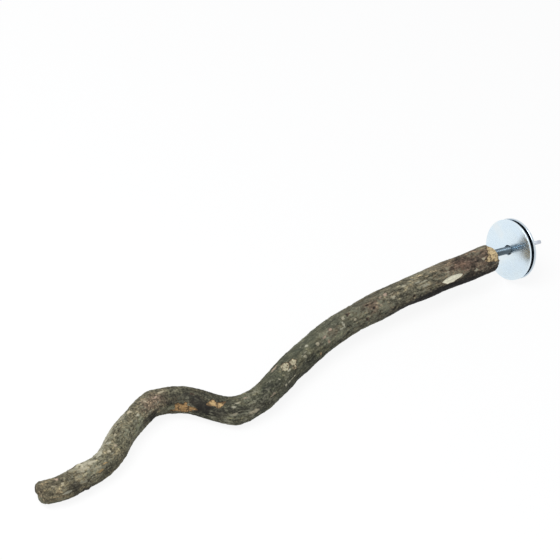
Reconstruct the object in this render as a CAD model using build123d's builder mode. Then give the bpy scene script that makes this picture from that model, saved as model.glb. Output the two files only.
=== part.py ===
from build123d import *
from math import radians, sin
import os

# A bird perch: a crooked natural branch with a screw clamp that holds it to the wires of a cage.
# The origin is the middle of the inner washer's cage side. +X runs along the bolt, away from the
# branch and out through the cage wall, and +Z is up. Sizes are in millimetres, angles in degrees.

# Two large washers, one on each side of the cage wires
washer_diameter = 40.0
washer_thickness = 1.5
washer_hole_diameter = 6.6
washer_edge_break = 0.3
wire_gap = 2.5

# Hanger bolt: an M5 machine thread outside, a wood screw inside the branch
bolt_diameter = 4.9
bolt_reach = 20.0
bolt_end_chamfer = 0.7
wood_screw_diameter = 5.4
wood_screw_length = 26.0
wood_screw_point = 8.0

# Wing nut
nut_bore_clearance = 0.08
nut_base_diameter = 11.0
nut_top_diameter = 8.8
nut_hub_height = 6.5
wing_span = 28.0
wing_height = 14.0
wing_ear_radius = 4.0
wing_root_radius = 2.7
wing_root_height = 3.4
wing_thickness = 2.4
wing_edge_round = 0.7
wing_turn = 135.0

# Branch, measured over its bark
bare_bolt_length = 18.0
branch_span = 380.5
sawn_end_diameter = 18.2
tip_diameter = 12.9
taper_power = 1.2
bark_thickness = 1.2
elbow_swell = 0.3
elbow_distance = 247.0
elbow_swell_length = 11.0
tip_rounding = 2.6
section_spacing = 12.0
section_points = 12

# Lumps of the bark: waves with a spacing along the branch, a number of lobes round it, and a phase
lump_height = 0.17
lump_waves = [
    (67.0, 1, 0),
    (46.0, -2, 80),
    (37.0, 3, 200),
]

# The bolt is set a little off the middle of the sawn end.
sawn_end_y = -2.0
sawn_end_z = -1.0

# The middle of the branch, point by point from its sawn end to its tip: a gentle bow, the sharp
# elbow, the counter-bend after it, and the last straight stretch. These points, the elbow and the
# windows are drawn for a span of 380.5 and are stretched with the branch.
branch_points = [
    (0, 0, 0),
    (-43, -4, -1),
    (-83, -8, -3),
    (-122, -14, -5),
    (-161, -24.5, -7),
    (-186.5, -34.4, -8.5),
    (-211, -46, -9.5),
    (-235.5, -54, -10),
    (-246, -53, -10),
    (-254, -47.5, -10),
    (-267.5, -36.5, -9.5),
    (-276, -33, -10),
    (-287, -33, -10),
    (-298, -37.5, -10.5),
    (-319, -51, -11),
    (-340, -64, -11.5),
    (-350, -66.5, -11.5),
    (-370, -69.8, -11.8),
    (-380.5, -69, -11.5),
]

# Places where the bark is missing: distance from the sawn end, angle round the branch from its
# top (positive towards +Y), length along the branch and width across it.
bark_windows = [
    (45, -65, 19.5, 5.2),
    (204, -9, 12.0, 6.5),
    (264.5, -34, 11.0, 5.4),
    (283.5, -86, 19.0, 6.0),
    (0, -20, 18.0, 14.5),
]

# Places along the bolt
outer_washer_x = wire_gap
nut_x = outer_washer_x + washer_thickness
sawn_end_x = -washer_thickness - bare_bolt_length
stretch = branch_span / -branch_points[-1][0]

# The middle line of the branch
with BuildLine() as branch_middle:
    start_tangent = Vector(*branch_points[1]) - Vector(*branch_points[0])
    end_tangent = Vector(*branch_points[-1]) - Vector(*branch_points[-2])
    Spline(
        [(sawn_end_x + x * stretch, sawn_end_y + y, sawn_end_z + z) for x, y, z in branch_points],
        tangents=[start_tangent, end_tangent],
    )
middle = branch_middle.edge()


def branch_diameter(distance):
    """Diameter over the bark at a distance from the sawn end: taper and elbow."""
    share = distance / middle.length
    diameter = sawn_end_diameter - (sawn_end_diameter - tip_diameter) * share**taper_power
    from_elbow = (distance - elbow_distance * stretch) / elbow_swell_length
    return diameter + elbow_swell / (1 + from_elbow**4)


def bark_section(distance):
    """Points round the bark, with its lumps, at a distance from the sawn end."""
    points = []
    for step in range(section_points):
        turn = 360 * step / section_points
        radius = branch_diameter(distance) / 2
        for spacing, lobes, phase in lump_waves:
            radius += lump_height * sin(radians(360 * distance / spacing + lobes * turn + phase))
        points.append(Vector(radius, 0).rotate(Axis.Z, turn))
    return points


def branch_sections():
    """Distances of the loft's sections, in even steps."""
    steps = round(middle.length / section_spacing)
    return [middle.length * step / steps for step in range(steps + 1)]


def square_plane(distance):
    """Plane across the branch at a distance from the sawn end."""
    return Plane(
        origin=middle.position_at(distance, PositionMode.LENGTH),
        x_dir=(0, 0, 1),
        z_dir=middle.tangent_at(distance, PositionMode.LENGTH),
    )


# Half outline of the wood screw, from the sawn end to its point
wood_screw_tip_x = sawn_end_x - wood_screw_length
wood_screw_outline = [
    (sawn_end_x, 0),
    (sawn_end_x, wood_screw_diameter / 2),
    (wood_screw_tip_x + wood_screw_point, wood_screw_diameter / 2),
    (wood_screw_tip_x, 0),
]

# The branch's wood, with the hole that the hanger bolt cuts for itself
with BuildPart() as branch_wood:
    for distance in branch_sections():
        with BuildSketch(square_plane(distance)):
            Circle(branch_diameter(distance) / 2 - bark_thickness)
    loft()
    fillet(branch_wood.faces().sort_by(Axis.X)[0].edges(), tip_rounding - bark_thickness)
    with BuildSketch():
        with BuildLine():
            Polyline(*wood_screw_outline, close=True)
        make_face()
    revolve(axis=Axis.X, mode=Mode.SUBTRACT)
    # The sawn end is not quite square to the bolt, so the hole runs on out through it.
    with BuildSketch(Plane.YZ.offset(sawn_end_x)):
        Circle(wood_screw_diameter / 2)
    extrude(amount=wood_screw_diameter, mode=Mode.SUBTRACT)

# The bark: a skin over the whole branch, missing at the windows
with BuildPart() as bark:
    for distance in branch_sections():
        with BuildSketch(square_plane(distance)):
            with BuildLine():
                Spline(bark_section(distance), periodic=True)
            make_face()
    loft()
    fillet(bark.faces().sort_by(Axis.X)[0].edges(), tip_rounding)
    for distance in branch_sections():
        with BuildSketch(square_plane(distance)):
            Circle(branch_diameter(distance) / 2 - bark_thickness)
    loft(mode=Mode.SUBTRACT)
    for distance, angle, length, width in bark_windows:
        across = square_plane(distance * stretch)
        outward = across.x_dir.rotate(Axis((0, 0, 0), across.z_dir), angle)
        with BuildSketch(Plane(origin=across.origin, x_dir=across.z_dir, z_dir=outward)):
            Ellipse(length / 2, width / 2)
        extrude(amount=sawn_end_diameter, mode=Mode.SUBTRACT)

# Hanger bolt, one piece from the point of the wood screw to the free end of the machine thread
with BuildPart() as hanger_bolt:
    with BuildSketch():
        with BuildLine():
            Polyline(*wood_screw_outline, close=True)
        make_face()
        with BuildLine():
            Polyline(
                (sawn_end_x, 0),
                (sawn_end_x, bolt_diameter / 2),
                (bolt_reach - bolt_end_chamfer, bolt_diameter / 2),
                (bolt_reach, bolt_diameter / 2 - bolt_end_chamfer),
                (bolt_reach, 0),
                close=True,
            )
        make_face()
    revolve(axis=Axis.X)

# Stamped washers, with their outer edges broken
with BuildPart() as inner_washer:
    with BuildSketch(Plane.YZ.offset(-washer_thickness)):
        Circle(washer_diameter / 2)
        Circle(washer_hole_diameter / 2, mode=Mode.SUBTRACT)
    extrude(amount=washer_thickness)
    rims = inner_washer.edges().filter_by(GeomType.CIRCLE).group_by(SortBy.RADIUS)[-1]
    chamfer(rims, washer_edge_break)

with BuildPart() as outer_washer:
    with BuildSketch(Plane.YZ.offset(outer_washer_x)):
        Circle(washer_diameter / 2)
        Circle(washer_hole_diameter / 2, mode=Mode.SUBTRACT)
    extrude(amount=washer_thickness)
    rims = outer_washer.edges().filter_by(GeomType.CIRCLE).group_by(SortBy.RADIUS)[-1]
    chamfer(rims, washer_edge_break)

# Wing nut: two ears on a tapered hub, bored to run on the machine thread. The ears lie in a plane
# through the bolt, which is turned from level.
ears_plane = Plane(origin=(0, 0, 0), x_dir=(1, 0, 0), z_dir=Vector(0, 0, 1).rotate(Axis.X, wing_turn))
between_ears = Plane(origin=(0, 0, 0), x_dir=(1, 0, 0), z_dir=ears_plane.y_dir)
with BuildPart() as wing_nut:
    with BuildSketch(ears_plane):
        with Locations((nut_x + wing_height - wing_ear_radius, wing_span / 2 - wing_ear_radius)):
            Circle(wing_ear_radius)
        with Locations((nut_x + wing_root_height, nut_top_diameter / 4)):
            Circle(wing_root_radius)
        make_hull()
    extrude(amount=wing_thickness / 2, both=True)
    fillet(wing_nut.faces().filter_by(ears_plane).edges(), wing_edge_round)
    mirror(about=between_ears)
    with BuildSketch():
        with BuildLine():
            Polyline(
                (nut_x, 0),
                (nut_x, nut_base_diameter / 2),
                (nut_x + nut_hub_height, nut_top_diameter / 2),
                (nut_x + nut_hub_height, 0),
                close=True,
            )
        make_face()
    revolve(axis=Axis.X)
    with BuildSketch(Plane.YZ.offset(nut_x)):
        Circle(bolt_diameter / 2 + nut_bore_clearance)
    extrude(amount=wing_height, mode=Mode.SUBTRACT)

pieces = {
    "branch_wood": branch_wood,
    "bark": bark,
    "hanger_bolt": hanger_bolt,
    "inner_washer": inner_washer,
    "outer_washer": outer_washer,
    "wing_nut": wing_nut,
}
os.makedirs("parts", exist_ok=True)
for name, piece in pieces.items():
    piece.part.label = name
    export_step(piece.part, f"parts/{name}.step")
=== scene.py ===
import math

import bpy
import numpy as np
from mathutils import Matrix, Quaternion, Vector, noise


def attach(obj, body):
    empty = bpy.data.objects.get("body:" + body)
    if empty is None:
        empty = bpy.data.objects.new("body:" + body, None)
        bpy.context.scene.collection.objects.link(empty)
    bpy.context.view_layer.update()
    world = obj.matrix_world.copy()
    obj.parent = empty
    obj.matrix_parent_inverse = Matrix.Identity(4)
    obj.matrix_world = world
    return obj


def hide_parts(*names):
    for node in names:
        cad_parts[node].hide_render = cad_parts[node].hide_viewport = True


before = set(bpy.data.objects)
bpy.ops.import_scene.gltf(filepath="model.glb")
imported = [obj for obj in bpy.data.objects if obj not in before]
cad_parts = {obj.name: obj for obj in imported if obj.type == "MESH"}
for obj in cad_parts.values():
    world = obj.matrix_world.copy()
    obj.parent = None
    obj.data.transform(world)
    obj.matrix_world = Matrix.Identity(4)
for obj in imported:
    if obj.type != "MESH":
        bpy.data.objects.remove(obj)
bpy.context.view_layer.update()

# A bird perch: a crooked branch with its bark, held to cage wires by a hanger bolt, two large
# washers and a wing nut. Sizes of the pieces are in millimetres and become metres in the mesh.
MM = 0.001

# Camera, in metres: it looks down on the branch, whose tip is to the left
camera_target = Vector((-0.16534, 0.03238, -0.008))
camera_distance = 1.1738
camera_azimuth = math.radians(-46.365)
camera_elevation = math.radians(34)
camera_roll = math.radians(16.39)
camera_lens = 123.63
camera_sensor_width = 36
camera_clip_start = 0.05
camera_clip_end = 50

# Floor and light, in metres and watts
floor_height = -0.0201
floor_size = 8.0
floor_glow = 0.90
floor_white = (0.95, 0.95, 0.95, 1)
floor_bounce = (0.50, 0.50, 0.50, 1)
sky_light = (0.93, 0.96, 1.0, 1)
sky_strength = 0.47
backdrop_white = 0.95
key_direction = Vector((-0.60, -0.12, 0.79))
key_distance = 1.4
key_size = 0.8
key_power = 16.5

# Branch: its middle line from the sawn end to the tip, and its sizes over the bark
branch_start = (-19.5, -2.0, -1.0)
branch_points = [
    (0, 0, 0),
    (-43, -4, -1),
    (-83, -8, -3),
    (-122, -14, -5),
    (-161, -24.5, -7),
    (-186.5, -34.4, -8.5),
    (-211, -46, -9.5),
    (-235.5, -54, -10),
    (-246, -53, -10),
    (-254, -47.5, -10),
    (-267.5, -36.5, -9.5),
    (-276, -33, -10),
    (-287, -33, -10),
    (-298, -37.5, -10.5),
    (-319, -51, -11),
    (-340, -64, -11.5),
    (-350, -66.5, -11.5),
    (-370, -69.8, -11.8),
    (-380.5, -69, -11.5),
]
sawn_end_diameter = 18.2
tip_diameter = 12.9
taper_power = 1.2
elbow_swell = 0.3
elbow_distance = 247.0
elbow_swell_length = 11.0
tip_rounding = 2.6
bark_thickness = 1.2

# Lumps of the bark: waves with a spacing along the branch, a number of lobes round it, and a phase
lump_height = 0.17
lump_waves = [
    (67.0, 1, 0),
    (46.0, -2, 80),
    (37.0, 3, 200),
]

# Branch mesh: samples of its middle line between two points, spacing of its rows, points in a row,
# and the rows of its two end faces, which reach from one share of the radius to another. For the
# patterns of the material, the faces lie at a place a little past the ends.
curve_samples = 80
row_spacing = 0.55
row_points = 120
tip_rows = 12
sawn_face_rows = 22
sawn_face_reach = (0.05, 0.985)
sawn_face_place = -0.5
tip_face_rows = 10
tip_face_reach = (0.96, 0.06)
tip_face_place = 1.0

# Noise of the relief: scales along the branch and across it, octaves, and an offset that keeps one
# noise from repeating another. Each octave is finer and lower than the one before.
octave_fade = 1.0
octave_step = 2.0
swell_noise = ((0.035, 0.085, 0.085), 3, 0)
crack_noise = ((0.045, 0.30, 0.30), 3, 40)
grain_noise = ((0.45, 1.0, 1.0), 4, 90)
ragged_noise = ((0.5, 0.8, 0.8), 3, 150)
tip_lump_noise = ((0.2, 0.3, 0.3), 3, 210)
saw_mark_noise = ((1, 0.25, 2.2), 3, 0)
tip_face_noise = ((1, 0.4, 0.4), 3, 0)

# Finer relief of the bark in millimetres, and how it shades the bark's colour
relief_offset = -0.08
swell_height = 0.20
crack_depth = 0.42
crack_width = 0.10
grain_height = 0.18
relief_shade = 0.5
relief_shade_gain = 0.6

# The far arm is grainy and has fewer cracks: where that begins, and where it fades towards the tip
grainy_start = (190, 240)
grainy_end = (375, 395)
grainy_loss = 0.4
grainy_crack_loss = 0.55
grainy_grain_gain = 0.6
grainy_mottle_loss = 0.35

# Places where the bark is missing. Each has an outline of distances from the sawn end and angles
# from the top, how pale its wood is, its depth, and how ragged its edge is. The palest was cut
# clean; the others were torn and are worn.
bare_patches = [
    ([(54.5, -63), (50.5, -52), (45, -49), (38, -53), (35.5, -61), (37, -69), (43.5, -79), (50, -79)],
     1.0, 0.9, 0.25),
    ([(207.5, 17), (204, 18), (202, 8), (202.5, -8), (205, -15), (209, -13), (209.5, 1)], 0.8, 0.5, 1.1),
    ([(201.5, 4), (197, 0), (195.5, -14), (198, -24), (201, -20)], 0.8, 0.4, 0.9),
    ([(203, -24), (199, -26), (198.5, -38), (202.5, -38)], 0.8, 0.4, 0.8),
    ([(269.5, -49), (268, -34), (266, -17), (263.5, -30), (261.5, -25), (259, -13), (260, -33), (262, -53),
      (264, -45), (267.5, -52)], 0.32, 1.0, 0.35),
    ([(293.5, -112), (291.5, -99), (288.5, -94), (288.5, -74), (286.5, -68), (283, -71), (281, -63),
      (279.5, -73), (277, -74), (273.5, -82), (276, -100), (280.5, -112)], 0.1, 1.0, 1.2),
    ([(-3, 42), (1, 36), (5.5, 9), (7.5, -8), (9, -28), (13, -44), (12, -51), (8, -54), (4, -64), (-3, -66)],
     0.6, 1.0, 0.7),
]
bare_patch_edge = (0.35, -0.4)
bare_patch_relief = 0.05
clean_paleness = 0.95
clean_wear = 0.15
torn_wear = 0.9

# Pale flecks of the bark that stand out: distance, angle, length, width, strength, warmth. A fade,
# here and below, is where an oval ends and where it is full, as shares of its size.
large_flecks = [
    (75, 7, 3, 2, 0.7, 0.0),
    (85, -9, 7, 1.4, 1.0, 0.1),
    (74, -20, 7, 1.2, 0.8, 0.0),
    (69.5, -26, 10, 1.2, 0.8, 0.0),
    (68.5, -45, 8, 1.3, 0.9, 0.0),
    (72, -40, 7, 1.1, 0.7, 0.1),
    (102.5, -9, 4, 2.2, 0.8, 0.6),
    (106.5, -9, 4, 1.6, 0.7, 0.5),
    (98, -16, 5, 1.1, 0.7, 0.3),
    (98, -34, 3.4, 1.8, 1.0, 0.1),
    (110, -39, 3, 1.2, 0.6, 0.4),
    (143, -8, 2.4, 2.0, 1.0, 0.1),
    (146, -33, 2.0, 4.6, 1.0, 0.0),
    (149, -41, 4.0, 1.6, 0.8, 0.0),
    (135, -40, 3.2, 1.8, 0.8, 0.2),
    (157, -16, 4.2, 1.6, 0.7, 0.6),
    (163.5, -50, 3.0, 2.6, 0.9, 0.7),
    (165, -26, 4.0, 1.6, 0.7, 0.6),
    (173.5, -29, 3.4, 2.4, 0.8, 0.2),
    (181.5, -3, 3.6, 1.8, 0.7, 0.0),
    (188, -32, 3.8, 1.8, 0.8, 0.1),
    (174, -71, 3.0, 1.6, 0.7, 0.9),
    (209.5, -59, 12, 0.9, 0.7, 0.1),
    (215.5, -56, 3, 1.6, 0.8, 0.1),
    (218, -17, 2, 2, 0.7, 0.1),
    (210.5, 38, 9, 2.4, 0.7, 0.5),
    (206.5, -21, 4, 1.3, 0.9, 0.0),
    (229, -46, 4.4, 1.8, 0.7, 0.6),
    (255, -38, 3, 2, 0.8, 0.0),
    (253, -20, 3.4, 1.2, 0.8, 0.1),
    (247.5, 0, 3.4, 1.2, 0.6, 0.6),
    (254.5, -69, 3, 1.8, 0.6, 0.2),
    (244.5, -73, 9, 2.6, 0.7, 0.25),
    (296.5, 1, 6, 1.6, 0.7, 0.3),
    (301.5, -13, 6, 1.6, 0.6, 0.6),
    (309, 2, 2, 3, 0.7, 0.4),
    (322, -16, 3.6, 2, 0.7, 0.0),
    (322, 26, 3, 3, 0.8, 0.3),
    (343, 20, 3.2, 2, 0.7, 0.2),
    (350.5, 28, 3.4, 2.6, 1.0, 0.0),
    (357.5, 0, 3, 2.2, 1.0, 0.2),
    (350.5, -8, 3.2, 1.6, 0.7, 0.4),
    (362.5, 23, 7, 4, 0.7, 0.0),
    (371, 6, 4.6, 3, 0.9, 0.1),
    (378, 4, 8, 6, 0.55, 0.1),
    (365, -31, 4, 1.2, 0.8, 1.0),
    (369.5, -50, 4, 1.6, 0.8, 1.0),
    (395.5, 9, 4, 2, 0.7, 0.6),
    (393.5, -26, 2.2, 2, 0.9, 0.3),
    (399, -25, 5, 1.2, 0.6, 0.3),
    (392, -69, 5, 1.8, 0.8, 0.0),
    (14.5, -34, 3, 2.2, 0.8, 0.2),
    (23.5, -67, 4, 2.6, 0.7, 0.1),
    (29.5, -17, 3.4, 1.6, 0.6, 0.7),
    (48, -30, 4, 1.4, 0.6, 0.1),
    (345, 64, 36, 6.5, 0.62, 0.0),
    (360, 42, 15, 6, 0.62, 0.0),
    (374, 18, 13, 6, 0.62, 0.1),
    (327, 45, 14, 4, 0.5, 0.1),
]
fleck_fade = (1.35, 0.35)
fleck_raggedness = 0.6
fleck_height = 0.15

# Knots: distance, angle, length, width, strength
knots = [
    (119, -11, 3.6, 2.6, 1.0),
    (116, -38, 3.4, 1.8, 0.9),
    (81, -67, 3.4, 2.6, 0.8),
    (138, -4, 4.5, 3.2, 0.9),
    (125, -66, 4.0, 2.4, 0.7),
    (278, -18, 3.0, 1.6, 0.7),
    (176, 70, 6.0, 4.6, 0.9),
    (321, 110, 5.5, 4.0, 0.9),
    (60, 130, 6.0, 4.4, 0.9),
    (230, 150, 6.5, 4.8, 0.9),
]
knot_fade = (1.3, 0.1)
knot_raggedness = 0.7
knot_depth = 0.4
knot_rim_height = 0.25
knot_rim_reach = 1.2
knot_rim_sharpness = 4

# Knobs: distance, angle, length, width, height in millimetres
knobs = [
    (377.5, 32, 5.5, 6, 0.8),
    (378.5, -100, 4.5, 6, 0.9),
    (300.0, 60, 7, 5, 0.5),
    (131.0, 150, 8, 6, 0.7),
]

# Swellings and hollows of the branch itself: distance, angle, length, width, height in millimetres
swellings = [
    (14, 38, 22, 14, -0.5),
    (37, 38, 22, 18, 0.6),
    (70, 36, 60, 16, -0.7),
    (104, 40, 16, 14, 0.3),
    (121, 40, 34, 14, -0.5),
    (154, 44, 26, 14, -0.5),
    (162, -96, 18, 12, -0.4),
    (186, -92, 26, 14, 0.9),
    (239.5, -100, 16, 14, -1.1),
    (252.5, -118, 9, 10, 0.7),
]
mound_fade = (1.2, 0.0)

# Reddish areas of the bark: distance, angle, length, width, strength. The fade of an area also says
# how ragged it is.
reddish = [
    (33, -26, 24, 13, 0.9),
    (117, -26, 18, 9, 0.6),
    (306, -24, 26, 12, 0.5),
    (160, -30, 20, 8, 0.4),
    (60, 120, 60, 16, 0.6),
    (240, 100, 50, 14, 0.5),
]
reddish_fade = (1.2, 0.3, 0.5)

# Calm areas, where the bark is smooth: distance, angle, length, width, strength
calm_areas = [
    (160, 24, 130, 20, 0.9),
    (225, 10, 26, 8, 0.6),
    (60, 60, 70, 12, 0.7),
    (190, 160, 120, 14, 0.8),
]
calm_fade = (1.3, 0.4, 0.4)

# Dark stains, and painted shade in long bands along the underside: distance, angle, length, width, strength
stains_and_underside_shade = [
    # Painted shade: a long band along the underside near the sawn end
    (52, -103, 120, 9.5, 1.0),
    (8, -62, 11, 4, 0.75),
    (29.5, -72, 12, 4.5, 0.7),
    (270, -66, 14, 9, 0.9),
    (275, -48, 11, 8, 0.8),
    (280, -30, 10, 5, 0.45),
    (311, -84, 10, 5, 0.85),
    (292, -62, 10, 4, 0.7),
    (252.5, -54, 11, 5, 0.5),
    (240, -62, 26, 8, 0.5),
    (262, -70, 10, 7, 0.7),
    (205, -58, 50, 8, 0.45),
    (287, -50, 22, 7, 0.5),
    (228, -20, 18, 9, 0.4),
    (314, -68, 22, 4, 0.7),
    (387, -58, 7, 4.5, 0.65),
    (380, -98, 9, 3, 0.8),
    # Painted shade: a long thin band along the underside
    (196, -96, 70, 4, 0.6),
]
stain_and_shade_fade = (1.3, 0.5, 0.4)

# Sawn end: its worn edge, the marks of the saw, the fibres that the bolt raised round its hole, and
# the ring of bark round the wood
sawn_edge_wear = 0.4
sawn_edge_wear_length = 0.5
saw_mark_height = 0.10
raised_fibre_height = 0.5
raised_fibre_radius = 2.6
raised_fibre_width = 0.9
bark_ring_blur = 0.03
bark_ring_raggedness = 0.05

# Broken tip: a groove across its face and down one side that parts it into two lobes, how far one
# lobe stands back, and the lumps round the tip and on its face
tip_groove_angle = 148
tip_groove_length = 6.0
tip_groove_width = 1.6
tip_groove_depth = 1.5
tip_groove_side = (-0.2, 0.5)
tip_setback = 1.4
tip_setback_length = 9.0
tip_lump_height = 0.5
tip_bulge = 0.9
tip_roughness = 0.6

# Marks that the branch's material reads, with their values on the sawn face and on the broken tip
end_face_marks = {
    "peel": (0.0, 0.0),
    "pale": (0.0, 0.0),
    "worn": (0.0, 0.0),
    "fleck": (0.0, 0.0),
    "warm": (0.0, 0.0),
    "red": (0.0, 0.1),
    "grainy": (0.0, 1.0),
    "calm": (0.0, 0.0),
    "knot": (0.0, 0.1),
    "stain_and_shade": (0.0, 0.05),
    # relief: painted shade in the hollows and painted highlight on the rises
    "relief": (0.5, 0.45),
}

# Looks of the branch: its colours, how they break up, and the height of its bumps in metres
bark_zones_length = 400
reddish_bark = (0.200, 0.132, 0.098, 1)
evened_mottle = (1.05, 1.04, 1.00, 1)
calm_tint = (0.82, 0.84, 0.86, 1)
calm_share = 0.75
lichen_green = (0.240, 0.246, 0.175, 1)
# Colour of the stains and of the painted shade on the underside
stain_and_shade_black = (0.016, 0.014, 0.012, 1)
stain_and_shade_evenness = 0.55
small_fleck_grey = (0.31, 0.295, 0.215, 1)
fleck_gathering = 0.5
fleck_speckle = 0.7
knot_speckle = 0.6
worn_wood = (0.080, 0.050, 0.026, 1)
ring_frequency = 6.0
ring_waver_scale = 0.35
pith_brown = (0.25, 0.13, 0.06, 1)
pith_reach = 10
bark_specular = 0.28
bark_bump = 0.7
bark_bump_height = 0.00035

# Hanger bolt: a thread's crest and flanks are shares of its pitch
bolt_diameter = 4.9
bolt_end = 20.0
bolt_end_chamfer = 0.7
bolt_pitch = 0.8
bolt_thread_depth = 0.46
wood_screw_diameter = 5.4
wood_screw_length = 26.0
wood_screw_point = 8.0
wood_screw_pitch = 2.2
wood_screw_depth = 0.9
wood_screw_tip = 0.05
wood_screw_tip_share = 0.02
thread_crest = 0.18
thread_flank = 0.62
bolt_row_spacing = 0.1
bolt_row_points = 40

# Washers: the cage side of the inner one is at the origin
washer_diameter = 40.0
washer_hole_diameter = 6.6
washer_thickness = 1.5
wire_gap = 2.5
washer_roll_radius = 0.42
washer_hole_roll_share = 0.7
washer_burr_radius = 0.12
washer_hole_margin = 0.8
washer_rim_margin = 0.9
washer_burr_margin = 0.6
washer_corner_steps = 4
washer_points = 200

# Zinc plating: the scales of its tint, its wiping marks and its waves, and its bumps in metres
zinc_drift_scale = 90
zinc_mark_stretch = (1, 1, 9)
zinc_wave_scale = 260
zinc_bump = 0.08
zinc_bump_height = 0.0002

# Zinc of each piece: colour, roughness and scale of the wiping marks
# The bolt's zinc is darkened: a painted dark reflection standing in for dark surroundings
bolt_zinc_painted_shade = ((0.13, 0.17, 0.20), 0.3, 320)
inner_washer_zinc = ((0.76, 0.87, 0.94), 0.19, 150)
# The outer washer and the faces in the gap: darker copies of the washers' zinc, painted shade
outer_washer_zinc_painted_shade = ((0.60, 0.67, 0.73), 0.22, 150)
cage_side_zinc_painted_shade = ((0.60, 0.68, 0.74), 0.12, 150)
nut_zinc = ((0.55, 0.58, 0.64), 0.34, 240)


# Mesh helpers


def tube_faces(rows, columns):
    """Faces of a tube closed around, with fans to the two pole points that follow its rows."""
    faces = []
    for row in range(rows - 1):
        for column in range(columns):
            here = row * columns + column
            beside = row * columns + (column + 1) % columns
            faces.append((here, beside, beside + columns, here + columns))
    first_pole = rows * columns
    last_row = (rows - 1) * columns
    for column in range(columns):
        beside = (column + 1) % columns
        faces.append((first_pole, beside, column))
        faces.append((first_pole + 1, last_row + column, last_row + beside))
    return faces


def add_piece(name, points, faces, material, body):
    """New smooth mesh piece from points in millimetres, riding on a body."""
    mesh = bpy.data.meshes.new(name)
    mesh.from_pydata((np.asarray(points) * MM).tolist(), [], faces)
    mesh.materials.append(material)
    mesh.shade_smooth()
    piece = bpy.data.objects.new(name, mesh)
    bpy.context.scene.collection.objects.link(piece)
    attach(piece, body)
    return piece


def store(piece, name, values):
    """Keep a number or a vector for each point of a piece, for its material to read."""
    values = np.asarray(values, np.float32)
    kind, field = ("FLOAT_VECTOR", "vector") if values.ndim == 2 else ("FLOAT", "value")
    attribute = piece.data.attributes.new(name, kind, "POINT")
    attribute.data.foreach_set(field, values.ravel())


def smooth_step(start, end, value):
    """Share that goes smoothly from 0 at the start to 1 at the end, which may be the lower of the two."""
    share = np.clip((value - start) / (end - start), 0, 1)
    return share * share * (3 - 2 * share)


def noise_at(spots, scale, octaves, offset):
    """Fractal noise, about -1 to 1, at an array of points, with a scale for each axis."""
    scaled = ((spots + offset).reshape(-1, 3) * scale).tolist()
    values = [noise.fractal(Vector(spot), octave_fade, octave_step, octaves) for spot in scaled]
    return np.array(values).reshape(spots.shape[:-1])


# Material helpers


def new_material(name):
    material = bpy.data.materials.new(name)
    material.use_nodes = True
    return material, material.node_tree, material.node_tree.nodes["Principled BSDF"]


def node(tree, kind, inputs=None, **settings):
    """Add a node. An input is linked where its value is a socket, and set where it is a value."""
    made = tree.nodes.new(kind)
    for name, value in settings.items():
        setattr(made, name, value)
    for name, value in (inputs or {}).items():
        if isinstance(value, bpy.types.NodeSocket):
            tree.links.new(value, made.inputs[name])
        else:
            made.inputs[name].default_value = value
    return made


def colour(red, green, blue):
    return (red, green, blue, 1)


def mix(tree, factor, first, second, blend="MIX"):
    """Mix of two colours by a factor. The node's colour sockets go by number."""
    inputs = {0: factor, 6: first, 7: second}
    return node(tree, "ShaderNodeMix", inputs, data_type="RGBA", blend_type=blend).outputs[2]


def multiply(tree, first, second):
    """Product of two colours."""
    return mix(tree, 1.0, first, second, "MULTIPLY")


def ramp(tree, value, stops):
    """Colour ramp; a stop is a place and a colour, or a place and a grey level."""
    made = node(tree, "ShaderNodeValToRGB", {"Fac": value})
    elements = made.color_ramp.elements
    while len(elements) < len(stops):
        elements.new(0.5)
    for element, (place, shade) in zip(elements, stops):
        element.position = place
        element.color = shade if isinstance(shade, tuple) else colour(shade, shade, shade)
    return made.outputs["Color"]


def stored(tree, name, field="Fac"):
    return node(tree, "ShaderNodeAttribute", attribute_name=name).outputs[field]


def maths(tree, operation, *values):
    return node(tree, "ShaderNodeMath", dict(enumerate(values)), operation=operation).outputs["Value"]


def vector_maths(tree, operation, *values, result="Vector"):
    made = node(tree, "ShaderNodeVectorMath", dict(enumerate(values)), operation=operation)
    return made.outputs[result]


def noise_texture(tree, vector, scale, detail, roughness, distortion=0.0):
    inputs = {
        "Vector": vector,
        "Scale": scale,
        "Detail": detail,
        "Roughness": roughness,
        "Distortion": distortion,
    }
    return node(tree, "ShaderNodeTexNoise", inputs).outputs["Fac"]


def stretched_noise(tree, vector, scales, *settings, scale=1.0):
    """Noise texture with a scale for each axis."""
    return noise_texture(tree, vector_maths(tree, "MULTIPLY", vector, scales), scale, *settings)


def bump(tree, height, strength, distance):
    inputs = {"Height": height, "Strength": strength, "Distance": distance}
    return node(tree, "ShaderNodeBump", inputs).outputs["Normal"]


# Branch material


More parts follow.
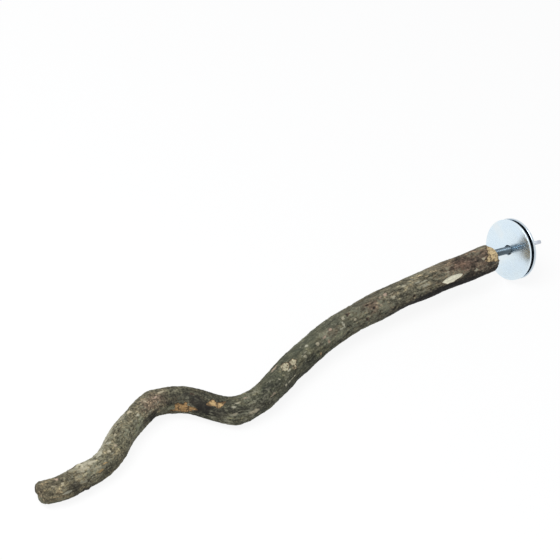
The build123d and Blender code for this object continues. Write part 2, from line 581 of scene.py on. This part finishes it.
def bark_ground(tree, place, mottle, streaks, speckle):
    """Bark: brown near the bolt, grey green in the middle, dark round the elbow, grey brown after it."""
    distance = node(tree, "ShaderNodeSeparateXYZ", {"Vector": place}).outputs["X"]
    zone = ramp(tree, maths(tree, "DIVIDE", distance, bark_zones_length), [
        (0.00, colour(0.134, 0.098, 0.076)),
        (0.08, colour(0.168, 0.131, 0.100)),
        (0.17, colour(0.192, 0.174, 0.126)),
        (0.28, colour(0.160, 0.144, 0.106)),
        (0.40, colour(0.121, 0.122, 0.085)),
        (0.58, colour(0.093, 0.095, 0.065)),
        (0.68, colour(0.073, 0.070, 0.051)),
        (0.76, colour(0.139, 0.128, 0.091)),
        (0.90, colour(0.162, 0.148, 0.102)),
        (1.00, colour(0.160, 0.136, 0.093)),
    ])
    blotches = stretched_noise(tree, place, (0.05, 0.11, 0.11), 5, 0.6)
    tint = ramp(tree, blotches, [
        (0.30, colour(0.62, 0.66, 0.66)),
        (0.46, colour(0.95, 0.97, 0.92)),
        (0.58, colour(1.22, 1.14, 1.04)),
        (0.70, colour(1.10, 1.22, 1.00)),
    ])
    even_bark = mix(tree, stored(tree, "red"), multiply(tree, zone, tint), reddish_bark)

    # Mottle all over, streaks on the near arm and granules on the far one, and fine specks
    grainy = stored(tree, "grainy")
    mottle_tint = ramp(tree, mottle, [
        (0.30, colour(0.22, 0.22, 0.21)),
        (0.42, colour(0.70, 0.69, 0.67)),
        (0.50, colour(0.98, 0.97, 0.95)),
        (0.57, colour(1.24, 1.20, 1.14)),
        (0.65, colour(2.05, 1.95, 1.78)),
        (0.74, colour(3.10, 2.90, 2.60)),
    ])
    evened = maths(tree, "MULTIPLY", grainy, grainy_mottle_loss)
    bark = multiply(tree, even_bark, mix(tree, evened, mottle_tint, evened_mottle))
    streak_shade = ramp(tree, streaks, [(0.32, 0.34), (0.46, 0.90), (0.58, 1.18), (0.72, 2.0)])
    granules = noise_texture(tree, place, 0.8, 4, 0.62)
    granule_shade = ramp(tree, granules, [(0.36, 0.38), (0.46, 0.85), (0.54, 1.13), (0.64, 2.05)])
    bark = multiply(tree, bark, mix(tree, grainy, streak_shade, granule_shade))
    speckle_shade = ramp(tree, speckle, [(0.34, 0.34), (0.46, 0.90), (0.57, 1.18), (0.70, 2.1)])
    bark = multiply(tree, bark, speckle_shade)
    calm = maths(tree, "MULTIPLY", stored(tree, "calm"), calm_share)
    return mix(tree, calm, bark, multiply(tree, even_bark, calm_tint))


def add_lichen_stains_and_shade(tree, place, bark, mottle):
    """Grey green lichen in patches, dark stains, and painted shade along the underside."""
    lichen_area = stretched_noise(tree, place, (0.05, 0.09, 0.09), 3, 0.5)
    lichen_grain = noise_texture(tree, place, 0.7, 5, 0.7, 0.6)
    lichen = maths(tree, "MULTIPLY", lichen_area, lichen_grain)
    bark = mix(tree, ramp(tree, lichen, [(0.27, 0.0), (0.35, 0.7)]), bark, lichen_green)
    # Stains and the painted shade on the underside darken the bark
    stain_and_shade = maths(tree, "MULTIPLY", stored(tree, "stain_and_shade"), maths(tree, "ADD", mottle, stain_and_shade_evenness))
    return mix(tree, stain_and_shade, bark, stain_and_shade_black)


def add_flecks_and_knots(tree, place, bark, speckle):
    """Small pale flecks that gather in places, the corky ones that stand out, and knots."""
    gathered = stretched_noise(tree, place, (0.022, 0.06, 0.06), 2, 0.5)
    small_flecks = stretched_noise(tree, place, (0.34, 0.62, 0.62), 3, 0.6, 0.5)
    gathering = maths(tree, "MULTIPLY", gathered, fleck_gathering)
    small_flecks = ramp(tree, maths(tree, "ADD", small_flecks, gathering), [(0.84, 0.0), (0.96, 0.8)])
    # No small flecks on the stains or on the painted shade
    outside_stain_and_shade = maths(tree, "SUBTRACT", 1.0, stored(tree, "stain_and_shade"))
    bark = mix(tree, maths(tree, "MULTIPLY", small_flecks, outside_stain_and_shade), bark, small_fleck_grey)

    fleck_tint = ramp(tree, stored(tree, "warm"), [
        (0.0, colour(0.43, 0.41, 0.31)),
        (0.3, colour(0.48, 0.42, 0.29)),
        (0.6, colour(0.46, 0.34, 0.26)),
        (1.0, colour(0.40, 0.275, 0.13)),
    ])
    broken_edge = maths(tree, "MULTIPLY", speckle, fleck_speckle)
    fleck = maths(tree, "ADD", stored(tree, "fleck"), broken_edge)
    bark = mix(tree, ramp(tree, fleck, [(0.55, 0.0), (1.1, 0.9)]), bark, fleck_tint)

    broken_edge = maths(tree, "MULTIPLY", speckle, knot_speckle)
    knot = maths(tree, "ADD", stored(tree, "knot"), broken_edge)
    knot_tint = ramp(tree, knot, [
        (0.55, colour(0.19, 0.120, 0.085)),
        (0.85, colour(0.10, 0.060, 0.042)),
        (1.15, colour(0.022, 0.016, 0.013)),
    ])
    return mix(tree, ramp(tree, knot, [(0.45, 0.0), (0.8, 0.85)]), bark, knot_tint)


def add_bare_wood(tree, place, bark, fibres):
    """Bare wood where the bark is missing: orange where it was torn, cream where it was cut."""
    wood = ramp(tree, stored(tree, "pale"), [
        (0.0, colour(0.43, 0.250, 0.105)),
        (0.3, colour(0.46, 0.315, 0.150)),
        (0.6, colour(0.62, 0.470, 0.260)),
        (0.8, colour(0.45, 0.410, 0.280)),
        (1.0, colour(0.95, 0.900, 0.700)),
    ])
    wood = multiply(tree, wood, ramp(tree, fibres, [(0.3, 0.66), (0.5, 1.0), (0.7, 1.15)]))
    wear = ramp(tree, noise_texture(tree, place, 0.5, 4, 0.65, 0.3), [(0.49, 0.0), (0.59, 1.0)])
    wood = mix(tree, maths(tree, "MULTIPLY", wear, stored(tree, "worn")), wood, worn_wood)
    peel = stored(tree, "peel")
    inner_bark = ramp(tree, peel, [
        (0.12, colour(0.034, 0.023, 0.017)),
        (0.55, colour(0.11, 0.060, 0.028)),
    ])
    surface = mix(tree, ramp(tree, peel, [(0.08, 0.0), (0.30, 1.0)]), bark, inner_bark)
    return mix(tree, ramp(tree, peel, [(0.38, 0.0), (0.70, 1.0)]), surface, wood)


def end_grain(tree, place):
    """End grain of the sawn end: wavering yearly rings and the dark pith."""
    flat = vector_maths(tree, "MULTIPLY", place, (0, 1, 1))
    waver = node(tree, "ShaderNodeTexNoise", {"Vector": flat, "Scale": ring_waver_scale}).outputs["Color"]
    wavering = vector_maths(tree, "ADD", flat, waver)
    reach = vector_maths(tree, "LENGTH", wavering, result="Value")
    rings = maths(tree, "SINE", maths(tree, "MULTIPLY", reach, ring_frequency))
    ring_colour = ramp(tree, maths(tree, "MULTIPLY_ADD", rings, 0.5, 0.5), [
        (0.0, colour(0.62, 0.44, 0.24)),
        (0.7, colour(0.56, 0.37, 0.18)),
        (1.0, colour(0.40, 0.23, 0.10)),
    ])
    pith = ramp(tree, maths(tree, "DIVIDE", reach, pith_reach), [(0.05, 1.0), (0.13, 0.0)])
    return mix(tree, pith, ring_colour, pith_brown)


def branch_material():
    """Bark with lichen, flecks and knots, bare wood where it is missing, and the sawn end grain."""
    material, tree, shader = new_material("branch_bark")
    place = stored(tree, "straight", "Vector")
    mottle = stretched_noise(tree, place, (0.20, 0.40, 0.40), 5, 0.62, 0.4)
    streaks = stretched_noise(tree, place, (0.13, 0.75, 0.75), 5, 0.6)
    speckle = stretched_noise(tree, place, (0.8, 1.1, 1.1), 4, 0.65)
    fibres = stretched_noise(tree, place, (0.12, 1.3, 1.3), 5, 0.6)
    pits = noise_texture(tree, place, 2.6, 6, 0.7)

    bark = bark_ground(tree, place, mottle, streaks, speckle)
    bark = add_lichen_stains_and_shade(tree, place, bark, mottle)
    bark = add_flecks_and_knots(tree, place, bark, speckle)
    # Painted shade in the hollows of the relief and a painted highlight on its rises.
    painted_relief_shade = ramp(tree, stored(tree, "relief"), [(0.1, 0.20), (0.42, 0.72), (0.62, 0.99), (0.9, 1.27)])
    surface = add_bare_wood(tree, place, multiply(tree, bark, painted_relief_shade), fibres)
    surface = mix(tree, stored(tree, "end_grain"), surface, end_grain(tree, place))

    link = tree.links.new
    link(surface, shader.inputs["Base Color"])
    link(ramp(tree, streaks, [(0.3, 0.92), (0.7, 0.74)]), shader.inputs["Roughness"])
    shader.inputs["Specular IOR Level"].default_value = bark_specular
    height = mix(tree, stored(tree, "peel"), pits, fibres)
    link(bump(tree, height, bark_bump, bark_bump_height), shader.inputs["Normal"])
    return material


# Zinc material


def zinc_material(name, base, rough, mark_scale):
    """Bright zinc plating: a bluish tint that drifts, fine wiping marks and uneven gloss."""
    material, tree, shader = new_material(name)
    link = tree.links.new
    place = node(tree, "ShaderNodeTexCoord").outputs["Object"]
    drift = noise_texture(tree, place, zinc_drift_scale, 3, 0.5)
    red, green, blue = base
    tint = ramp(tree, drift, [
        (0.32, colour(red * 0.95, green * 0.97, blue)),
        (0.55, colour(red, green, blue)),
        (0.74, colour(min(1, red * 1.06), green, blue * 0.96)),
    ])
    marks = stretched_noise(tree, place, zinc_mark_stretch, 5, 0.7, scale=mark_scale)
    tint = multiply(tree, tint, ramp(tree, marks, [(0.25, 0.92), (0.5, 1.0)]))
    link(tint, shader.inputs["Base Color"])
    shader.inputs["Metallic"].default_value = 1.0
    gloss = maths(tree, "ADD", drift, marks)
    link(ramp(tree, gloss, [(0.7, rough * 0.7), (1.25, rough * 1.5)]), shader.inputs["Roughness"])
    height = mix(tree, 0.5, noise_texture(tree, place, zinc_wave_scale, 4, 0.6), marks)
    link(bump(tree, height, zinc_bump, zinc_bump_height), shader.inputs["Normal"])
    return material


# Branch


def smooth_line(points, spacing, end_length, end_rows):
    """Stations on a smooth curve through points, closer over its end: distances, places, directions."""
    points = np.array(points, float)
    count = len(points)
    spans = np.linalg.norm(np.diff(points, axis=0), axis=1)
    system = np.zeros((count, count))
    slopes = np.zeros((count, 3))
    system[0, 0] = system[-1, -1] = 1
    slopes[0] = (points[1] - points[0]) / spans[0]
    slopes[-1] = (points[-1] - points[-2]) / spans[-1]
    for i in range(1, count - 1):
        before, after = 1 / spans[i - 1], 1 / spans[i]
        system[i, i - 1 : i + 2] = before, 2 * (before + after), after
        rise = (points[i] - points[i - 1]) * before**2 + (points[i + 1] - points[i]) * after**2
        slopes[i] = 3 * rise
    slopes = np.linalg.solve(system, slopes)
    t = np.linspace(0, 1, curve_samples, endpoint=False)[:, None]
    curve = []
    for i, span in enumerate(spans):
        curve.append(
            points[i] * (2 * t**3 - 3 * t**2 + 1)
            + slopes[i] * span * (t**3 - 2 * t**2 + t)
            + points[i + 1] * (3 * t**2 - 2 * t**3)
            + slopes[i + 1] * span * (t**3 - t**2)
        )
    curve = np.vstack([*curve, points[-1:]])
    lengths = np.r_[0, np.cumsum(np.linalg.norm(np.diff(curve, axis=0), axis=1))]
    straight = lengths[-1] - end_length
    even = np.linspace(0, straight, round(straight / spacing) + 1)
    closer = straight + end_length * np.sin(np.linspace(0, math.pi / 2, end_rows + 1))
    stations = np.r_[even, closer[1:]]
    places = np.column_stack([np.interp(stations, lengths, curve[:, axis]) for axis in range(3)])
    directions = np.gradient(places, axis=0)
    directions /= np.linalg.norm(directions, axis=1)[:, None]
    return stations, places, directions


def branch_radius(distance, length):
    """Radius over the bark: taper, elbow and rounded tip."""
    share = np.clip(distance / length, 0, 1)
    diameter = sawn_end_diameter - (sawn_end_diameter - tip_diameter) * share**taper_power
    diameter = diameter + elbow_swell / (1 + ((distance - elbow_distance) / elbow_swell_length) ** 4)
    into_tip = np.clip(tip_rounding - (length - distance), 0, tip_rounding)
    return diameter / 2 - tip_rounding + np.sqrt(tip_rounding**2 - into_tip**2)


def bark_lumps(distance, angle):
    """Height of the large lumps of the bark."""
    height = 0
    for spacing, lobes, phase in lump_waves:
        turn = 2 * math.pi * distance / spacing + lobes * angle + math.radians(phase)
        height = height + lump_height * np.sin(turn)
    return height


def outside(x, y, outline):
    """Distance of points in a plane from an outline, negative inside it."""
    nearest = np.full(np.broadcast(x, y).shape, np.inf)
    inside = np.zeros(nearest.shape, bool)
    for (x0, y0), (x1, y1) in zip(outline, outline[1:] + outline[:1]):
        share = ((x - x0) * (x1 - x0) + (y - y0) * (y1 - y0)) / ((x1 - x0) ** 2 + (y1 - y0) ** 2)
        share = np.clip(share, 0, 1)
        away = np.hypot(x - x0 - share * (x1 - x0), y - y0 - share * (y1 - y0))
        nearest = np.minimum(nearest, away)
        if y0 != y1:
            crossing = x0 + (y - y0) * (x1 - x0) / (y1 - y0)
            inside ^= ((y0 > y) != (y1 > y)) & (x < crossing)
    return np.where(inside, -nearest, nearest)


class BranchGrid:
    """Rows of points on the sides of the branch, by distance from the sawn end and angle from the top."""

    def __init__(self):
        line = [np.array(branch_start) + point for point in branch_points]
        stations, self.middle, self.ahead = smooth_line(line, row_spacing, tip_rounding, tip_rows)
        self.length = stations[-1]
        self.distance = stations[:, None]
        self.angle = np.linspace(-math.pi, math.pi, row_points, endpoint=False)[None, :]
        self.from_groove = self.angle - math.radians(tip_groove_angle)
        self.from_high_side = self.from_groove + math.pi / 2
        self.radius = branch_radius(self.distance, self.length)
        self.straight = self.straightened(self.distance, self.radius)
        self.ragged = noise_at(self.straight, *ragged_noise)
        upward = np.array([0, 0, 1]) - self.ahead[:, 2:] * self.ahead
        upward /= np.linalg.norm(upward, axis=1)[:, None]
        sideways = np.cross(self.ahead, upward)
        self.outward = (
            upward[:, None, :] * np.cos(self.angle)[..., None]
            + sideways[:, None, :] * np.sin(self.angle)[..., None]
        )

    def straightened(self, distance, radius):
        """Places of points on a straight branch, where its patterns are laid out."""
        up, aside = radius * np.cos(self.angle), radius * np.sin(self.angle)
        return np.stack(np.broadcast_arrays(distance, up, aside), -1)

    def from_spot(self, spot_distance, spot_angle, spot_length, spot_width):
        """How far each point is from the middle of an oval, 1 at the oval's edge."""
        turn = (self.angle - math.radians(spot_angle) + math.pi) % (2 * math.pi) - math.pi
        along = (self.distance - spot_distance) / (spot_length / 2)
        return np.hypot(along, self.radius * turn / (spot_width / 2))

    def from_ragged_spot(self, oval, raggedness):
        """The same from an oval with a ragged edge."""
        return self.from_spot(*oval) + raggedness * self.ragged

    def areas(self, ovals, outer, inner, raggedness):
        """Strength of ragged areas at each point, the strongest where they meet."""
        strongest = np.zeros_like(self.ragged)
        for *oval, strength in ovals:
            near = strength * smooth_step(outer, inner, self.from_ragged_spot(oval, raggedness))
            strongest = np.maximum(strongest, near)
        return strongest

    def add_mounds(self, relief, mounds):
        """Add rounded rises and hollows to a relief."""
        for *oval, height in mounds:
            relief += height * smooth_step(*mound_fade, self.from_spot(*oval))


def bark_relief(grid, marks):
    """Relief of the bark: swells, long cracks and grain, with knobs, flecks and knots. Adds its marks."""
    relief = relief_offset + swell_height * noise_at(grid.straight, *swell_noise)
    ungrained = grainy_loss * smooth_step(*grainy_end, grid.distance)
    grainy = smooth_step(*grainy_start, grid.distance) * (1 - ungrained) * np.ones_like(relief)
    cracks = np.exp(-((noise_at(grid.straight, *crack_noise) / crack_width) ** 2))
    relief -= crack_depth * (1 - grainy_crack_loss * grainy) * cracks
    relief += grain_height * (1 + grainy_grain_gain * grainy) * noise_at(grid.straight, *grain_noise)
    grid.add_mounds(relief, knobs)
    fleck = np.zeros_like(relief)
    warm = np.zeros_like(relief)
    for *oval, strength, warmth in large_flecks:
        near = strength * smooth_step(*fleck_fade, grid.from_ragged_spot(oval, fleck_raggedness))
        warm = np.where(near > fleck, warmth, warm)
        fleck = np.maximum(fleck, near)
        relief += fleck_height * near
    knot = np.zeros_like(relief)
    for *oval, strength in knots:
        away = grid.from_ragged_spot(oval, knot_raggedness)
        near = strength * smooth_step(*knot_fade, away)
        knot = np.maximum(knot, near)
        rim = np.exp(-((away - knot_rim_reach) ** 2) * knot_rim_sharpness)
        relief += knot_rim_height * rim - knot_depth * near
    # Painted shade and highlight from the relief: darker in hollows, lighter on rises
    shade = np.clip(relief_shade + (relief - relief_offset) * relief_shade_gain, 0, 1)
    marks.update(grainy=grainy, fleck=fleck, warm=warm, knot=knot, relief=shade)
    return relief


def cut_bare_patches(grid, relief, marks):
    """Relief with the bare patches cut down to the wood, with ragged edges. Adds their marks."""
    peel = np.zeros_like(relief)
    pale = np.zeros_like(relief)
    wood_level = np.zeros_like(relief)
    for outline, paleness, depth, raggedness in bare_patches:
        corners = [(spot, branch_radius(spot, grid.length) * math.radians(turn)) for spot, turn in outline]
        away = outside(grid.distance, grid.radius * grid.angle, corners) + raggedness * grid.ragged
        inside = smooth_step(*bare_patch_edge, away)
        pale = np.where(inside > peel, paleness, pale)
        wood_level = np.where(inside > peel, -depth, wood_level)
        peel = np.maximum(peel, inside)
    marks.update(peel=peel, pale=pale, worn=np.where(pale < clean_paleness, torn_wear, clean_wear))
    return relief * (1 - peel) + (wood_level + bare_patch_relief * grid.ragged) * peel


def shape_ends(grid, relief):
    """Wear the edge of the sawn end, and part the broken tip into two uneven lobes."""
    relief -= sawn_edge_wear * np.exp(-grid.distance / sawn_edge_wear_length)
    near_tip = np.exp(-(((grid.length - grid.distance) / tip_groove_length) ** 2))
    across = grid.radius * np.sin(grid.from_groove)
    groove = near_tip * np.exp(-((across / tip_groove_width) ** 2))
    relief -= tip_groove_depth * groove * smooth_step(*tip_groove_side, np.cos(grid.from_groove))
    relief += tip_lump_height * noise_at(grid.straight, *tip_lump_noise) * near_tip


def make_sawn_face(grid, rim_radius, rim_peel):
    """Sawn face, from its middle out to the bark: places, straightened places and where it is wood."""
    share = np.linspace(*sawn_face_reach, sawn_face_rows)[:, None]
    radius = rim_radius * share
    places = grid.middle[0] + grid.outward[0] * radius[..., None]
    straight = grid.straightened(np.full_like(share, sawn_face_place), radius)
    from_bolt = np.linalg.norm(places[..., 1:], axis=-1)
    saw_marks = saw_mark_height * noise_at(straight, *saw_mark_noise)
    from_ring = (from_bolt - raised_fibre_radius) / raised_fibre_width
    raised_fibres = raised_fibre_height * np.exp(-(from_ring**2))
    places -= grid.ahead[0] * (saw_marks + raised_fibres)[..., None]
    bark_start = 1 - bark_thickness / grid.radius[0, 0]
    ragged_share = share + bark_ring_raggedness * grid.ragged[:1]
    wood = smooth_step(bark_start + bark_ring_blur, bark_start - bark_ring_blur, ragged_share)
    wood = np.maximum(wood, rim_peel * np.ones_like(share))
    return places, straight, wood


def make_tip_face(grid, rim_radius):
    """Broken face of the tip, from its rim to its middle: places and straightened places."""
    share = np.linspace(*tip_face_reach, tip_face_rows)[:, None]
    radius = rim_radius * share
    places = grid.middle[-1] + grid.outward[-1] * radius[..., None]
    straight = grid.straightened(np.full_like(share, grid.length + tip_face_place), radius)
    bulge = tip_bulge * (1 - share**2) + tip_roughness * noise_at(straight, *tip_face_noise)
    slant = tip_setback * (1 - share * np.cos(grid.from_high_side)) / 2
    groove = tip_groove_depth * np.exp(-((radius * np.sin(grid.from_groove) / tip_groove_width) ** 2))
    places += grid.ahead[-1] * (bulge - slant - groove)[..., None]
    return places, straight


def with_end_faces(sawn, sides, tip):
    """Values of the sawn face, the sides and the tip, in the order of the mesh's points."""
    sawn = np.broadcast_to(sawn, (sawn_face_rows, row_points))
    tip = np.broadcast_to(tip, (tip_face_rows, row_points))
    values = np.concatenate([sawn, sides, tip]).ravel()
    return np.r_[values, sawn[0].mean(), tip[-1].mean()]


def make_branch():
    """One mesh for the bark, the bare wood and both ends, with the marks that its material reads."""
    grid = BranchGrid()
    marks = {
        "red": grid.areas(reddish, *reddish_fade),
        "calm": grid.areas(calm_areas, *calm_fade),
        "stain_and_shade": grid.areas(stains_and_underside_shade, *stain_and_shade_fade),
    }
    relief = cut_bare_patches(grid, bark_relief(grid, marks), marks)
    relief = relief + bark_lumps(grid.distance, grid.angle)
    grid.add_mounds(relief, swellings)
    shape_ends(grid, relief)

    reach = grid.radius + relief
    sides = grid.middle[:, None, :] + grid.outward * reach[..., None]
    setback = tip_setback * (1 - np.cos(grid.from_high_side)) / 2
    setback = setback * smooth_step(tip_setback_length, 0, grid.length - grid.distance)
    sides -= grid.ahead[:, None, :] * setback[..., None]
    sawn_face, sawn_straight, sawn_wood = make_sawn_face(grid, reach[:1], marks["peel"][:1])
    tip_face, tip_straight = make_tip_face(grid, reach[-1:])

    rows = np.concatenate([sawn_face, sides, tip_face])
    poles = [sawn_face[0].mean(axis=0), tip_face[-1].mean(axis=0)]
    points = np.vstack([rows.reshape(-1, 3), poles])
    faces = tube_faces(len(rows), row_points)
    branch = add_piece("branch", points, faces, branch_material(), "perch")
    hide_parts("bark", "branch_wood")

    straight_rows = np.concatenate([sawn_straight, grid.straight, tip_straight])
    straight_poles = [(sawn_face_place, 0, 0), (grid.length + tip_face_place, 0, 0)]
    store(branch, "straight", np.vstack([straight_rows.reshape(-1, 3), straight_poles]))
    for name, (on_sawn_face, on_tip) in end_face_marks.items():
        store(branch, name, with_end_faces(on_sawn_face, marks[name], on_tip))
    store(branch, "end_grain", with_end_faces(sawn_wood, np.zeros_like(relief), 0.0))


# Hanger bolt


def thread_profile(phase):
    """Depth share of a thread at a share of its pitch: flat crest, straight flanks, flat root."""
    return np.clip((np.abs(2 * (phase % 1) - 1) - thread_crest) / thread_flank, 0, 1)


def make_bolt():
    """Machine thread outside the branch and wood screw inside it, in one piece."""
    joint_x = branch_start[0]
    point_x = joint_x - wood_screw_length
    row_count = round((bolt_end - point_x) / bolt_row_spacing)
    x = np.linspace(point_x + wood_screw_tip, bolt_end, row_count)[:, None]
    angle = np.linspace(0, 2 * math.pi, bolt_row_points, endpoint=False)[None, :]
    turn = angle / (2 * math.pi)
    machine = bolt_diameter / 2 - bolt_thread_depth * thread_profile(x / bolt_pitch - turn)
    machine = np.minimum(machine, bolt_diameter / 2 - bolt_end_chamfer + (bolt_end - x))
    screw = wood_screw_diameter / 2 - wood_screw_depth * thread_profile(x / wood_screw_pitch - turn)
    screw = screw * np.clip((x - point_x) / wood_screw_point, wood_screw_tip_share, 1)
    radius = np.where(x < joint_x, screw, machine)
    rows = np.stack(np.broadcast_arrays(x, radius * np.cos(angle), radius * np.sin(angle)), -1)
    poles = [(point_x, 0, 0), (bolt_end, 0, 0)]
    points = np.vstack([rows.reshape(-1, 3), poles])
    # Darkened zinc: a painted dark reflection of dark surroundings
    material = zinc_material("bolt_zinc_painted_shade", *bolt_zinc_painted_shade)
    bolt = add_piece("bolt_thread", points, tube_faces(len(rows), bolt_row_points), material, "perch")
    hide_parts("hanger_bolt")


# Washers


def rounded(corner_x, corner_r, toward_x, toward_r, size):
    """Points of a rounded corner of a washer's section."""
    points = []
    for step in range(washer_corner_steps + 1):
        turn = math.pi / 2 * step / washer_corner_steps
        points.append((
            corner_x + toward_x * size * (1 - math.sin(turn)),
            corner_r + toward_r * size * (1 - math.cos(turn)),
        ))
    return points


def make_washer(node_name, cage_x, toward_branch, branch_side, cage_side_painted_shade):
    """Stamped washer: edges rolled over on the cage side, a small burr on the other side."""
    hole, rim = washer_hole_diameter / 2, washer_diameter / 2
    far_x = cage_x + toward_branch * washer_thickness
    roll, burr = washer_roll_radius, washer_burr_radius
    section = (
        rounded(cage_x, hole, toward_branch, 1, roll * washer_hole_roll_share)
        + [(cage_x, hole + washer_hole_margin), (cage_x, rim - washer_rim_margin)]
        + rounded(cage_x, rim, toward_branch, -1, roll)[::-1]
        + rounded(far_x, rim, -toward_branch, -1, burr)
        + [(far_x, rim - washer_burr_margin), (far_x, hole + washer_burr_margin)]
        + rounded(far_x, hole, -toward_branch, 1, burr)[::-1]
    )
    count = len(section)
    points = []
    for step in range(washer_points):
        turn = 2 * math.pi * step / washer_points
        for x, radius in section:
            points.append((x, radius * math.cos(turn), radius * math.sin(turn)))
    faces = []
    for step in range(washer_points):
        for corner in range(count):
            here = step * count + corner
            after = step * count + (corner + 1) % count
            shift = ((step + 1) % washer_points - step) * count
            face = (here, after, after + shift, here + shift)
            faces.append(face if toward_branch < 0 else face[::-1])
    washer = add_piece(node_name + "_stamped", points, faces, branch_side, node_name)
    # The faces in the gap get the darker zinc: painted shade
    washer.data.materials.append(cage_side_painted_shade)
    for polygon in washer.data.polygons:
        polygon.material_index = int(abs(polygon.center.x / MM - cage_x) < washer_roll_radius)
    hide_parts(node_name)


def make_washers():
    """The inner washer on the branch's side of the cage wires and the outer one on the other side. The outer
    washer and the faces in the gap get a darker copy of the zinc: painted shade.
    """
    inner_material = zinc_material("washer_satin_zinc", *inner_washer_zinc)
    outer_material_painted_shade = zinc_material("washer_outer_zinc_painted_shade", *outer_washer_zinc_painted_shade)
    cage_material_painted_shade = zinc_material("washer_bright_zinc_painted_shade", *cage_side_zinc_painted_shade)
    make_washer("inner_washer", 0.0, -1, inner_material, cage_material_painted_shade)
    make_washer("outer_washer", wire_gap, 1, outer_material_painted_shade, cage_material_painted_shade)


# Wing nut


def finish_wing_nut():
    """The wing nut keeps its solid's shape and gets its zinc."""
    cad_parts["wing_nut"].material_slots[0].material = zinc_material("nut_zinc", *nut_zinc)


# Stage


def white_for_sight(tree):
    """1 for rays that see the background directly, in a mirror or through something clear."""
    rays = node(tree, "ShaderNodeLightPath").outputs
    seen = maths(tree, "MAXIMUM", rays["Is Camera Ray"], rays["Is Glossy Ray"])
    return maths(tree, "MAXIMUM", seen, rays["Is Transmission Ray"])


def make_floor():
    """White floor that keeps the object's shadow and throws plain light back at it."""
    half = floor_size / 2
    mesh = bpy.data.meshes.new("floor")
    corners = [(-half, -half, 0), (half, -half, 0), (half, half, 0), (-half, half, 0)]
    mesh.from_pydata(corners, [], [(0, 1, 2, 3)])
    floor = bpy.data.objects.new("floor", mesh)
    floor.location = (0, 0, floor_height)
    bpy.context.scene.collection.objects.link(floor)
    material = bpy.data.materials.new("floor_white")
    material.use_nodes = True
    tree = material.node_tree
    tree.nodes.clear()
    bounce = node(tree, "ShaderNodeBsdfDiffuse", {"Color": floor_bounce}).outputs[0]
    white = node(tree, "ShaderNodeBsdfDiffuse", {"Color": floor_white}).outputs[0]
    glow = node(tree, "ShaderNodeEmission", {"Color": colour(1, 1, 1), "Strength": 1.0}).outputs[0]
    bright = node(tree, "ShaderNodeMixShader", {0: floor_glow, 1: white, 2: glow}).outputs[0]
    both = node(tree, "ShaderNodeMixShader", {0: white_for_sight(tree), 1: bounce, 2: bright}).outputs[0]
    node(tree, "ShaderNodeOutputMaterial", {"Surface": both})
    mesh.materials.append(material)


def make_sky():
    """White backdrop to the eye, with a dimmer, slightly blue light on the object."""
    world = bpy.data.worlds.new("studio")
    world.use_nodes = True
    bpy.context.scene.world = world
    tree = world.node_tree
    tree.nodes.clear()
    dim = {"Color": sky_light, "Strength": sky_strength}
    sky = node(tree, "ShaderNodeBackground", dim).outputs[0]
    bright = {"Color": colour(1, 1, 1), "Strength": backdrop_white}
    white = node(tree, "ShaderNodeBackground", bright).outputs[0]
    both = node(tree, "ShaderNodeMixShader", {0: white_for_sight(tree), 1: sky, 2: white}).outputs[0]
    node(tree, "ShaderNodeOutputWorld", {"Surface": both})


def make_key_lamp():
    """Large round lamp above the tip's side of the branch, turned to what the camera looks at."""
    lamp = bpy.data.lights.new("key", "AREA")
    lamp.shape = "DISK"
    lamp.size = key_size
    lamp.energy = key_power
    key = bpy.data.objects.new("key", lamp)
    key.location = camera_target + key_direction.normalized() * key_distance
    key.rotation_mode = "QUATERNION"
    key.rotation_quaternion = (-key_direction).to_track_quat("-Z", "Y")
    bpy.context.scene.collection.objects.link(key)


def make_camera():
    """Camera round its target by azimuth and elevation, then rolled."""
    back = Vector((
        math.sin(camera_azimuth) * math.cos(camera_elevation),
        -math.cos(camera_azimuth) * math.cos(camera_elevation),
        math.sin(camera_elevation),
    ))
    lens = bpy.data.cameras.new("camera")
    lens.lens = camera_lens
    lens.sensor_width = camera_sensor_width
    lens.clip_start = camera_clip_start
    lens.clip_end = camera_clip_end
    camera = bpy.data.objects.new("camera", lens)
    camera.location = camera_target + back * camera_distance
    camera.rotation_mode = "QUATERNION"
    camera.rotation_quaternion = (-back).to_track_quat("-Z", "Y") @ Quaternion((0, 0, 1), camera_roll)
    bpy.context.scene.collection.objects.link(camera)
    bpy.context.scene.camera = camera


make_camera()
make_floor()
make_sky()
make_key_lamp()
make_branch()
make_bolt()
make_washers()
finish_wing_nut()

bpy.context.scene.view_settings.view_transform = "Standard"
